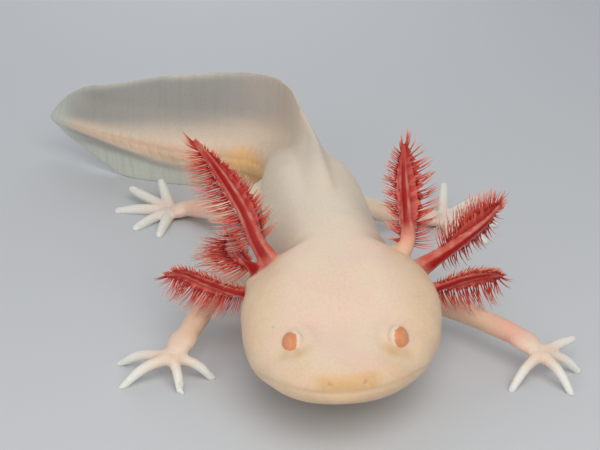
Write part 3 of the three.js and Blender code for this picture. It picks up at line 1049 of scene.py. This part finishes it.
# ---------------------------------------------------------------- skin: markings, painted shade and painted highlights
# Each zone has its colour in the skin's settings. Later zones lie over earlier ones.
ZONES = (
    "flank", "cheek", "belly", "stripe", "fin", "rim", "amber", "band", "blush", "tip", "fold",
    "pale_lip_and_lid_highlight", "gill", "core",
)
RAGGED_ZONES = ("cheek", "stripe", "amber", "blush", "fold", "gill")


class Zones(dict):
    """How strongly each zone covers each point of the skin."""

    def __init__(self, count):
        super().__init__((zone, np.zeros(count)) for zone in ZONES)

    def add(self, zone, share):
        """Covers each point by at least this share."""
        self[zone] = np.maximum(self[zone], share)


def height_share(where):
    """How far above or below the tail's middle a point lies, for the height of its flesh."""
    return np.abs(where.up + 0.5) / body_up(where.s)


def paint_flesh(where, zones):
    """Broad colours of the flanks, cheeks, belly and tail, and the amber patch."""
    zones.add("flank", fade(where.s, 44, 66) * (1 - 0.5 * fade(where.s, 130, 150)))
    outer = fade(np.abs(where.side), 9, 21)
    low = fade(-where.up, -4, 3)
    cheek = where.head * np.maximum(0.85 * outer, low)
    zones.add("cheek", cheek * (1 - 0.5 * fade(where.s, 30, 44)))
    zones.add("belly", fade(-where.up, 5, 11) * fade(where.s, 50, 60))
    tail = fade(where.s, TAIL_START, 152) * (1 - 0.8 * fade(where.s, 200, 240))
    zones.add("stripe", tail * (1 - fade(height_share(where), 0.35, 0.85)))
    away = np.linalg.norm((where.places - AMBER_PATCH) / AMBER_REACH, axis=1)
    zones.add("amber", 1.15 * (1 - fade(away, 0.55, 1.3)))


def paint_fins(where, zones):
    """The clear middle of the fins and their pale rim, with painted light on the lower fin and
    painted shade on the crest's front edge.
    """
    share = height_share(where)
    blade = fin_share(where)

    # The blade clears towards the tail's end, and so does the flesh towards the blade.
    clear = np.where(where.up > 0, fade(share, 0.5, 2.6), fade(share, 0.6, 1.5))
    clear *= fade(where.s, 140, 180) * (1 - fade(np.abs(where.side), 7, 10))
    zones.add("fin", blade * fade(where.s, 118, 178))
    zones.add("fin", 0.9 * clear)

    # Painted shade greys the crest's front edge, where it catches the light. The tail's edges and
    # its end are pale, and so is the lower fin, painted lighter against the shade it faces down
    # into.
    inside = np.where(where.up > 0, fin_top(where.s) - where.up, fin_bottom(where.s) + where.up)
    edge = 1 - fade(inside, 0.5, 3.5)
    zones.add("fin", 0.4 * edge * fade(where.s, 84, 110) * fade(where.up, 12, 15))
    tail_end = 0.9 * fade(where.s, 218, 240)
    # The lower fin takes the rim colour, partly as painted light against the shade it faces down
    # into.
    edge = np.maximum(np.maximum(0.7 * edge, 0.85 * fade(-where.up, 4.5, 8)), tail_end)
    rim = np.maximum(blade, fade(where.s, 222, 240)) * edge
    zones.add("rim", rim * fade(where.s, 150, 185))


# The brown stains below each eye: place inward, back and up from its middle, radius and strength.
STAINS = (
    ((1.6, -4.4, -0.3), 2.3, 0.85),
    ((-1.5, -4, -1), 1.9, 0.6),
    ((2.2, -9, -3.1), 4.2, 0.42),
)


def paint_snout(where, zones):
    """The brown band above the lip with its paler halo, and the stains below each eye."""
    places = where.places
    gap = mouth_gap(places)
    aside = from_middle(places)
    band = 0.9 * fade(gap, -0.6, 1.2) * (1 - fade(gap, 2.6, 4.8)) * (1 - fade(aside, 4.8, 9.5))
    halo = 0.32 * fade(gap, -6, -1) * (1 - fade(gap, 2, 7)) * (1 - fade(aside, 6, 17))
    zones.add("band", np.maximum(band, halo) * fade(-places[:, 1], 66, 74) * where.head)
    for side in EYES:
        centre, look = eye_frame(side)
        mirror = (-np.sign(look[0]), 1, 1)
        for offset, radius, strength in STAINS:
            stain = spot(places, centre + np.array(offset) * mirror, radius)
            zones.add("band", strength * stain)


def paint_face(where, zones, radius):
    """Painted highlight on the upper inner rim of each eye, a paler lip, and a little painted
    shade in the mouth, nostrils and folds, and in a faint arc above each eye.
    """
    places = where.places
    gap = mouth_gap(places)
    ahead = fade(-places[:, 1], 57, 61) * where.head
    aside = fade(from_middle(places), 12, 18)  # the mouth's line shows more at its ends
    zones.add("fold", (0.12 + 0.23 * aside) * ahead * hump(gap, 0, 0.4))
    zones.add("fold", 0.5 * nostril_spots(places, 0.5))
    neck = fade(where.up, 0, 6) * hump(np.abs(where.side), 12, 4.5)
    zones.add("fold", 0.45 * neck * hump(where.s, NECK_FOLD, 3))
    # A paler lip below the mouth's line.
    zones.add("pale_lip_and_lid_highlight", 0.2 * ahead * fade(-gap, 0.8, 2.2))
    for side in EYES:
        away, reach, angle = eye_angles(places, side)
        inward = unit((-math.copysign(1, EYES[side][0] - FACE_MIDDLE), 0, 0.9))
        inner = unit(away) @ inward
        # The ring is painted highlight: pale pink on the upper, inner side of each eye's rim,
        # partly from the blush colour.
        ring = 1 - fade(reach, radius + 1.2, radius + 2.4)
        ring *= 1 - fade(angle, EYE_OPENING + 2, EYE_OPENING + 30)
        ring *= fade(inner, -0.1, 0.5)
        zones.add("pale_lip_and_lid_highlight", 0.4 * ring)
        zones.add("blush", 0.2 * ring)
        # Painted shade in a faint arc above and inward of each eye.
        brow = hump(reach, 5.6, 0.9) * fade(inner, 0.4, 0.9) * fade(where.up, 0, 3)
        zones.add("fold", 0.16 * brow)


def paint_limbs(places, zones):
    """Pink forearms and soles, and pale toes."""
    for leg in LEGS.values():
        line = Line(leg["points"], steps=24)
        s = line.near(places)
        share = s / line.length
        close = 1 - fade(distance(places, line.at(s)), 5, 7.5)
        rosy = close * fade(share, 0.3, 0.55)
        zones.add("blush", rosy * (0.22 + 0.78 * hump(share, leg["blush"], 0.08)))
        zones.add("tip", 0.35 * close * fade(share, 0.82, 1))
        for points in toe_lines(leg):
            toe = Line(points, steps=16)
            s = toe.near(places)
            close = 1 - fade(distance(places, toe.at(s)), 1.8, 2.8)
            zones.add("blush", 0.12 * close)
            zones.add("tip", close * (0.35 + 0.65 * fade(s / toe.length, 0.1, 0.7)))


def paint_gills(places, zones):
    """Stalks that redden from the skin's own colour, with a darker vessel inside."""
    for gill in GILLS.values():
        line = Line(gill["points"])
        s = line.near(places)
        share = s / line.length
        away = places - line.at(s)
        close = 1 - fade(np.linalg.norm(away, axis=1), 2.6, 4.2)
        start = gill["red_from"]
        zones.add("gill", close * fade(share, start - 0.08, start + 0.1))
        # The vessel shows along the stalk's faces, not along the edges that carry filaments.
        edgeward = np.abs((away * unit(gill["rows"][0]["towards"])).sum(1))
        vessel = 1 - fade(edgeward / stalk_width(gill, s), 0.3, 0.56)
        vessel *= fade(share, start, start + 0.12) * (1 - 0.6 * fade(share, 0.75, 0.95))
        zones.add("core", close * vessel)
        base = line.at(start * line.length)
        zones.add("blush", 0.7 * spot(places, base, 4.5))
        zones.add("band", 0.6 * spot(places, base, 6.5))


def paint_skin(mesh, radius):
    """Stores each zone's share at each point, and each point's place on the body."""
    where = BodyMap(coordinates(mesh))
    zones = Zones(len(where.places))
    paint_flesh(where, zones)
    paint_fins(where, zones)
    paint_snout(where, zones)
    paint_limbs(where.places, zones)
    paint_face(where, zones, radius)
    paint_gills(where.places, zones)
    for zone, share in zones.items():
        write_attribute(mesh, zone, np.clip(share, 0, 1))
    write_attribute(mesh, "body_place", np.stack([where.s, where.side, where.up], 1), vector=True)


# ---------------------------------------------------------------- gills
FILAMENT_SIDES = 6
FILAMENT_RINGS = 9
FILAMENT_FLAT = 0.7  # a filament's thickness for its width
ROW_START = 0.2  # the share of a stalk that is bare at its root
ROW_END = 0.99
FANS = (-0.24, 0.02, 0.22)  # radians, the filaments that leave one place in a row
BUNCHED = 0.35  # how far the tips of neighbouring filaments draw together
FILAMENT_BARE = 0.6  # the share of the web's width past which the filaments stand free
WEB_HALF = 0.16  # half a web's thickness
MAP_PATCH = 0.003  # a filament's width on the bake map
FIRST_SEED = 40  # the first gill's; each gill has its own


def filament_array(count):
    """Many upright closed tubes of height 1 in one mesh, all at the origin."""
    bm = bmesh.new()
    made = bmesh.ops.create_cone(
        bm, cap_ends=True, segments=FILAMENT_SIDES, radius1=1.0, radius2=1.0, depth=1.0
    )
    bmesh.ops.translate(bm, verts=made["verts"], vec=(0, 0, 0.5))
    upright = [edge for edge in bm.edges if abs(edge.verts[0].co.z - edge.verts[1].co.z) > 0.5]
    bmesh.ops.subdivide_edges(bm, edges=upright, cuts=FILAMENT_RINGS - 2, use_grid_fill=True)
    tube = to_mesh(bm, "filaments")
    return after_modifier(tube, "ARRAY", use_relative_offset=False, count=count)


def filament_reach(row, share):
    """How long a row's filaments are, at a share of the row."""
    even = row["length"] * (0.35 + 0.65 * np.sin(math.pi * (0.2 + 0.72 * share)))
    return even * (1 - row.get("taper", 0) * share)


def web_width(row, share):
    """How far a row's web reaches from the stalk's middle, at a share of the row."""
    taper = np.sqrt(np.clip(np.sin(math.pi * np.clip(share, 0, 1)), 0, 1))
    return row["web"] * filament_reach(row, share) * taper


def gill_filaments(gill, settings, rng):
    """The root, direction, curl, length, share of the row, fan and variation of each filament."""
    line = Line(gill["points"])
    spacing = settings.spacing / MM
    found = []
    for row in gill["rows"]:
        start = row.get("start", ROW_START)
        count = round(line.length * (1 - start) / spacing)
        towards = unit(row["towards"])
        bunch = 0
        for i in range(count):
            share = (i + rng.uniform(0.3, 0.7)) / count
            s = (start + (ROW_END - start) * share) * line.length
            way = line.way(s)
            flank = np.cross(way, towards)
            out = unit(towards - way * (towards @ way))
            whole = filament_reach(row, share) * rng.uniform(0.86, 1.08)
            bunch = bunch - 1 if bunch > -1.5 else rng.choice((1.5, 2.5))
            lean = row["lean"] * (0.3 + share) + 5 * fade(share, 0.8, 1) ** 2
            lean += row.get("bunched", BUNCHED) * bunch * spacing / whole
            bare = FILAMENT_BARE * web_width(row, share)
            foot = line.at(s) + out * stalk_width(gill, s) * 0.5
            for fan in FANS:
                sway = lean + rng.uniform(-0.08, 0.08)
                turn = fan + rng.uniform(-0.08, 0.08)
                aim = unit(out * math.cos(turn) + flank * math.sin(turn) + way * sway)
                curl = unit(way * 0.8 + flank * rng.uniform(-0.5, 0.5) + UP * 0.3)
                root = foot + flank * 1.2 * fan
                root += unit(out + way * lean) * bare + way * fan * 1.6 * spacing
                found.append((root, aim, curl, whole - bare, share, fan, rng.random()))
    return found


def bend_filaments(mesh, found, radius):
    """Bends each tube of the array into its filament, and gives its points' places on the map."""
    tubes = coordinates(mesh).reshape(len(found), -1, 3)
    x, y, t = np.moveaxis(tubes, 2, 0)
    root, aim, curl, reach, share, fan, vary = (np.array(part)[:, None] for part in zip(*found))
    side = unit(np.cross(aim, curl))
    curl = np.cross(side, aim)
    thick = radius * (1 - 0.7 * t**1.4) * np.where(t > 0.999, 0.3, 1.0)
    bend = reach * (0.1 + 0.12 * vary) * t**2
    wobble = 0.035 * reach * np.sin(6 * t + 9 * vary) * t
    places = root + aim * (reach * t)[..., None]
    places += curl * (bend + y * thick * FILAMENT_FLAT)[..., None]
    places += side * (wobble + x * thick)[..., None]
    move_points(mesh, places.reshape(-1, 3))
    write_attribute(mesh, "reach", t)
    write_attribute(mesh, "vary", np.broadcast_to(vary, t.shape))
    write_attribute(mesh, "web", np.zeros(t.size))
    around = np.arctan2(y, x) / (2 * math.pi) + 0.5
    u = share * 0.95 + MAP_PATCH * t
    v = (fan + 0.6) * 0.4 + 0.06 * vary + MAP_PATCH * around
    return np.stack([u, v], -1).reshape(-1, 2)


def gill_webs(gill, rng):
    """The thin ruffled webs that join the filaments' roots, and their places on the bake map."""
    line = Line(gill["points"])
    parts = []
    marks = []
    for row in gill["rows"]:
        start = row.get("start", ROW_START) * line.length
        towards = unit(row["towards"])
        phase = rng.uniform(0, 6)

        def section(s, start=start, row=row):
            wide = web_width(row, (s - start) / (line.length - start))
            return wide, WEB_HALF * np.ones_like(s), WEB_HALF * np.ones_like(s)

        def upward(s, towards=towards):
            return np.cross(line.way(s), towards)

        web = loft(line, section, 90, 24, start=start, upward=upward)
        places = coordinates(web)
        s = line.near(places)
        away = places - line.at(s)
        out = away @ towards
        ruffle = 0.5 * np.sin(s * 1.9 + phase) + 0.3 * np.sin(s * 4.3 + 2 * phase)
        scallop = 1 + 0.14 * np.sin(s * 2.3 + phase) + 0.1 * np.sin(s * 5.1 + 3 * phase)
        edge = np.clip(out / (row["web"] * row["length"]), 0, 1)
        inner = np.where(out < 0, 0.12, scallop)
        lean = row["lean"] * (0.3 + s / line.length) * np.maximum(out, 0)
        places = line.at(s) + away * inner[:, None] + line.way(s) * lean[:, None]
        places += unit(upward(s)) * (ruffle * edge**1.5)[:, None]
        move_points(web, places)
        parts.append(web)
        marks.append(np.stack([s / line.length, edge], 1))
    mesh = joined(parts, "webs")
    along, edge = np.concatenate(marks).T
    write_attribute(mesh, "reach", edge)
    write_attribute(mesh, "vary", 0.4 + 0.3 * edge)
    write_attribute(mesh, "web", np.ones(len(edge)))
    rows = np.repeat(np.arange(len(marks)), len(marks[0]))
    return mesh, np.stack([0.02 + 0.96 * along, 0.6 + 0.18 * rows + 0.15 * edge], 1)


def write_bake_map(mesh, places):
    """Lays the faces on the map that colours are baked to."""
    corners = np.empty(len(mesh.loops), int)
    mesh.loops.foreach_get("vertex_index", corners)
    layer = mesh.uv_layers.new(name="OFBake")
    layer.uv.foreach_set("vector", places[corners].astype(np.float32).ravel())


def gill_fringe(gill, settings, rng):
    """One gill's filaments and webs in one mesh."""
    found = gill_filaments(gill, settings, rng)
    filaments = filament_array(len(found))
    write_bake_map(filaments, bend_filaments(filaments, found, settings.radius / MM))
    webs, places = gill_webs(gill, rng)
    write_bake_map(webs, places)
    return joined([filaments, webs], "gill")


# ---------------------------------------------------------------- eyes
def eyeball(side, radius):
    """A flattened ball behind the lids, with the angle and turn that its iris follows."""
    centre, look = eye_frame(side)
    bm = bmesh.new()
    bmesh.ops.create_uvsphere(bm, u_segments=64, v_segments=40, radius=radius)
    turn = Vector((0, 0, 1)).rotation_difference(Vector(look)).to_matrix()
    bmesh.ops.rotate(bm, verts=bm.verts, cent=(0, 0, 0), matrix=turn)
    bmesh.ops.translate(bm, verts=bm.verts, vec=Vector(centre))
    mesh = to_mesh(bm, "eye")
    places = coordinates(mesh)
    away, reach, angle = eye_angles(places, side)
    flatter = eye_reach(angle, radius) / reach - 1
    move_points(mesh, places + away * flatter[:, None])
    sideways = away - look * (away @ look)[:, None]
    spoke = sideways / np.maximum(np.linalg.norm(sideways, axis=1), 0.3)[:, None]
    write_attribute(mesh, "polar", angle / EYE_OPENING)
    write_attribute(mesh, "spoke", spoke, vector=True)
    return mesh


# ---------------------------------------------------------------- settings
def colour(name, description, rgb):
    """A colour that can be changed in the sidebar."""
    limits = {"min": 0.0, "max": 1.0, "size": 3, "subtype": "COLOR"}
    return FloatVectorProperty(name=name, description=description, default=rgb, **limits)


def size(name, description, metres):
    """A length that can be changed in the sidebar."""
    return FloatProperty(
        name=name, description=description, default=metres, min=0.0, precision=5, unit="LENGTH"
    )


def power(name, description, strength):
    """A light's power that can be changed in the sidebar."""
    return FloatProperty(
        name=name, description=description, default=strength, min=0.0, unit="POWER"
    )


class SkinSettings(bpy.types.PropertyGroup):
    """Sizes and colours of the skin"""

    voxel: size("Mesh size", "Edge of the squares the flesh is fused with", 0.00042)
    eye_radius: size("Eye radius", "Radius of the balls the lids fit", EYE_RADIUS)
    triangles: IntProperty(
        name="Triangles", description="Most triangles the skin may have", default=188000, min=1000
    )
    cream: colour("Cream", "Skin of the head's top", (0.8, 0.64, 0.475))
    pink: colour("Pink", "Pinker blotches of the skin", (0.81, 0.605, 0.475))
    flank: colour("Flank", "Skin of the neck and trunk", (0.76, 0.64, 0.5))
    cheek: colour("Cheek", "Yellower skin of the cheeks and jaw", (0.755, 0.55, 0.35))
    belly: colour("Belly", "Skin of the underside", (0.82, 0.66, 0.54))
    stripe: colour("Stripe", "Muscle seen through the tail's side", (0.78, 0.55, 0.38))
    # The fin colour also serves as painted shade on the crest's front edge.
    fin: colour("Fin", "The thin middle of the fins", (0.38, 0.37, 0.34))
    # The rim colour is the fins' pale edge, and also painted light on the downward-facing lower
    # fin.
    rim: colour("Fin rim", "The fins' paler edge", (0.64, 0.67, 0.58))
    fin_streak: colour("Fin streak", "Upright streaks in the fins", (0.3, 0.3, 0.26))
    amber: colour("Amber", "Patch at the tail's root", (0.92, 0.56, 0.24))
    band: colour("Band", "Orange tint on the snout and under the eyes", (0.68, 0.42, 0.19))
    blush: colour("Blush", "Blood seen through the limbs", (0.87, 0.48, 0.37))
    tip: colour("Toe tip", "Clear ends of the toes", (0.8, 0.79, 0.73))
    fold: colour("Fold", "Shade in the folds", (0.5, 0.38, 0.28))
    # Painted highlight on the upper inner rim of each eye, and the paler lip.
    pale_lip_and_lid_highlight: colour("Lid", "Pale rim of the eyes and lip", (0.87, 0.66, 0.56))
    gill: colour("Gill", "Margins of the gill stalks", (0.58, 0.1, 0.07))
    core: colour("Vessel", "Blood vessel in the gill stalks", (0.32, 0.0005, 0.0005))
    speck: colour("Speck", "Small dark specks", (0.2, 0.15, 0.12))


class GillSettings(bpy.types.PropertyGroup):
    """Sizes and colours of the gills' filaments"""

    spacing: size("Spacing", "From one filament of a row to the next", 0.00088)
    radius: size("Radius", "Filament radius at the root", 0.00019)
    root: colour("Root", "Filaments at the stalk", (0.42, 0.01, 0.008))
    middle: colour("Middle", "Filaments half way out", (0.7, 0.085, 0.045))
    tip: colour("Tip", "Filaments at their ends", (0.88, 0.5, 0.38))
    web: colour("Web", "The web's edge", (0.66, 0.13, 0.09))


class EyeSettings(bpy.types.PropertyGroup):
    """Sizes and colours of the eyes"""

    radius: size("Radius", "Radius of each eye", EYE_RADIUS)
    iris: colour("Iris", "Main colour of the eye", (0.7, 0.29, 0.135))
    spoke: colour("Spokes", "Fine rays in the iris", (0.78, 0.4, 0.22))
    pupil: colour("Pupil", "The pinker middle", (0.7, 0.27, 0.16))
    edge: colour("Edge", "The darker outline", (0.68, 0.26, 0.11))
    white: colour("White", "The ball under the lids", (0.8, 0.47, 0.33))


class StageSettings(bpy.types.PropertyGroup):
    """Floor, light and camera"""

    floor: colour("Floor", "The floor", (0.6, 0.62, 0.64))
    key: power("Key light", "Power of the main light", 1.3)
    fill: power("Fill light", "Power of the fill light", 0.7)
    back: power("Back light", "Power of the back light", 0.6)
    ambient: FloatProperty(
        name="Ambient", description="Strength of the light all round", default=0.38, min=0.0
    )


# ---------------------------------------------------------------- operators
class AXOLOTL_OT_skin(bpy.types.Operator):
    """Make the skin: body, fins, legs and gill stalks in one soft surface"""

    bl_idname = "axolotl.skin"
    bl_label = "Skin"

    def execute(self, context):
        settings = context.scene.axolotl_skin
        mesh = finished_skin(settings)
        paint_skin(mesh, settings.eye_radius / MM)
        skin = settle(mesh, "skin", skin_material(settings))
        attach(skin, "root")
        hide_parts(*FLESH_NODES)
        return {"FINISHED"}


class AXOLOTL_OT_gills(bpy.types.Operator):
    """Make the filaments and webs of the six gills"""

    bl_idname = "axolotl.gills"
    bl_label = "Gills"

    def execute(self, context):
        settings = context.scene.axolotl_gills
        material = gill_material(settings)
        for index, (name, gill) in enumerate(GILLS.items()):
            mesh = gill_fringe(gill, settings, random.Random(FIRST_SEED + index))
            fringe = settle(mesh, f"{name}_filaments", material)
            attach(fringe, "root")
            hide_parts(name)
        return {"FINISHED"}


class AXOLOTL_OT_eyes(bpy.types.Operator):
    """Make both eyes"""

    bl_idname = "axolotl.eyes"
    bl_label = "Eyes"

    def execute(self, context):
        settings = context.scene.axolotl_eyes
        material = eye_material(settings)
        for side in EYES:
            mesh = eyeball(side, settings.radius / MM)
            eye = settle(mesh, f"{side}_eyeball", material)
            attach(eye, "root")
            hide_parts(f"{side}_eye")
        return {"FINISHED"}


FLOOR_HALF = 6.0  # half the floor's width, in metres
CAMERA_PLACE = (0, -300, 153)  # in the animal's mm, as the lights' are
CAMERA_PITCH = 23.9  # degrees below the horizon
LENS = 72.0
SENSOR = 36.0
WARM = (1.0, 0.97, 0.93)
COOL = (0.97, 0.98, 1.0)
SKY = (0.93, 0.96, 1.0)
# Each light's place, what it is aimed at, its width in metres and its tint.
LIGHTS = {
    "key": ((90, -320, 380), (5, -30, 15), 0.45, WARM),
    "fill": ((-240, -420, 110), (10, -40, 15), 0.5, COOL),
    "back": ((-60, 420, 300), (-10, 20, 15), 0.5, COOL),
}


def area_light(name, strength, place, aim, width, tint):
    """A large soft light that doesn't show itself, its place and aim in the animal's mm."""
    data = bpy.data.lights.new(name, "AREA")
    data.shape = "DISK"
    data.size = width
    data.energy = strength
    data.color = tint
    light = bpy.data.objects.new(name, data)
    light.location = in_frame(place)
    light.rotation_euler = Vector(np.array(aim) - place).to_track_quat("-Z", "Y").to_euler()
    light.visible_camera = False
    bpy.context.collection.objects.link(light)


def floor_piece(tint):
    """A wide plain floor."""
    bm = bmesh.new()
    bmesh.ops.create_grid(bm, x_segments=1, y_segments=1, size=FLOOR_HALF)
    floor = bpy.data.objects.new("floor", to_mesh(bm, "floor"))
    bpy.context.collection.objects.link(floor)
    shader = Shader("floor_matt")
    shader.set(Base_Color=rgba(tint), Roughness=0.7, Specular_IOR_Level=0.25)
    floor.data.materials.append(shader.material)
    return floor


def studio_world(strength):
    """Even light from all round."""
    world = bpy.data.worlds.new("studio")
    world.use_nodes = True
    background = world.node_tree.nodes["Background"]
    background.inputs["Color"].default_value = rgba(SKY)
    background.inputs["Strength"].default_value = strength
    return world


def studio_camera():
    """A camera in front of the animal that looks down on it."""
    data = bpy.data.cameras.new("camera")
    data.lens = LENS
    data.sensor_width = SENSOR
    camera = bpy.data.objects.new("camera", data)
    camera.location = in_frame(CAMERA_PLACE)
    camera.rotation_euler = (math.radians(90 - CAMERA_PITCH), 0, 0)
    bpy.context.collection.objects.link(camera)
    return camera


class AXOLOTL_OT_stage(bpy.types.Operator):
    """Make the floor, the lights and the camera"""

    bl_idname = "axolotl.stage"
    bl_label = "Stage"

    def execute(self, context):
        scene = context.scene
        settings = scene.axolotl_stage
        floor = floor_piece(settings.floor)
        for name, light in LIGHTS.items():
            area_light(name, getattr(settings, name), *light)
        scene.world = studio_world(settings.ambient)
        scene.view_settings.view_transform = "Standard"
        scene.camera = studio_camera()
        return {"FINISHED"}


class AXOLOTL_PT_sidebar(bpy.types.Panel):
    """Lists the pieces and their settings"""

    bl_label = "Axolotl"
    bl_idname = "AXOLOTL_PT_sidebar"
    bl_space_type = "VIEW_3D"
    bl_region_type = "UI"
    bl_category = "Axolotl"

    def draw(self, context):
        for piece in PIECES:
            box = self.layout.box()
            box.operator(f"axolotl.{piece}")
            settings = getattr(context.scene, f"axolotl_{piece}")
            for name in settings.__annotations__:
                box.prop(settings, name)


PIECES = ["skin", "gills", "eyes", "stage"]
SETTINGS = [SkinSettings, GillSettings, EyeSettings, StageSettings]
CLASSES = [
    *SETTINGS,
    AXOLOTL_OT_skin,
    AXOLOTL_OT_gills,
    AXOLOTL_OT_eyes,
    AXOLOTL_OT_stage,
    AXOLOTL_PT_sidebar,
]


def register():
    """Adds the classes, and each piece's settings to the scene."""
    for made in CLASSES:
        bpy.utils.register_class(made)
    for piece, settings in zip(PIECES, SETTINGS):
        setattr(bpy.types.Scene, f"axolotl_{piece}", PointerProperty(type=settings))


def unregister():
    """Takes them away again."""
    for piece in PIECES:
        delattr(bpy.types.Scene, f"axolotl_{piece}")
    for made in reversed(CLASSES):
        bpy.utils.unregister_class(made)


def main():
    """Registers the add-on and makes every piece."""
    register()
    for piece in PIECES:
        getattr(bpy.ops.axolotl, piece)()


if __name__ == "__main__":
    main()
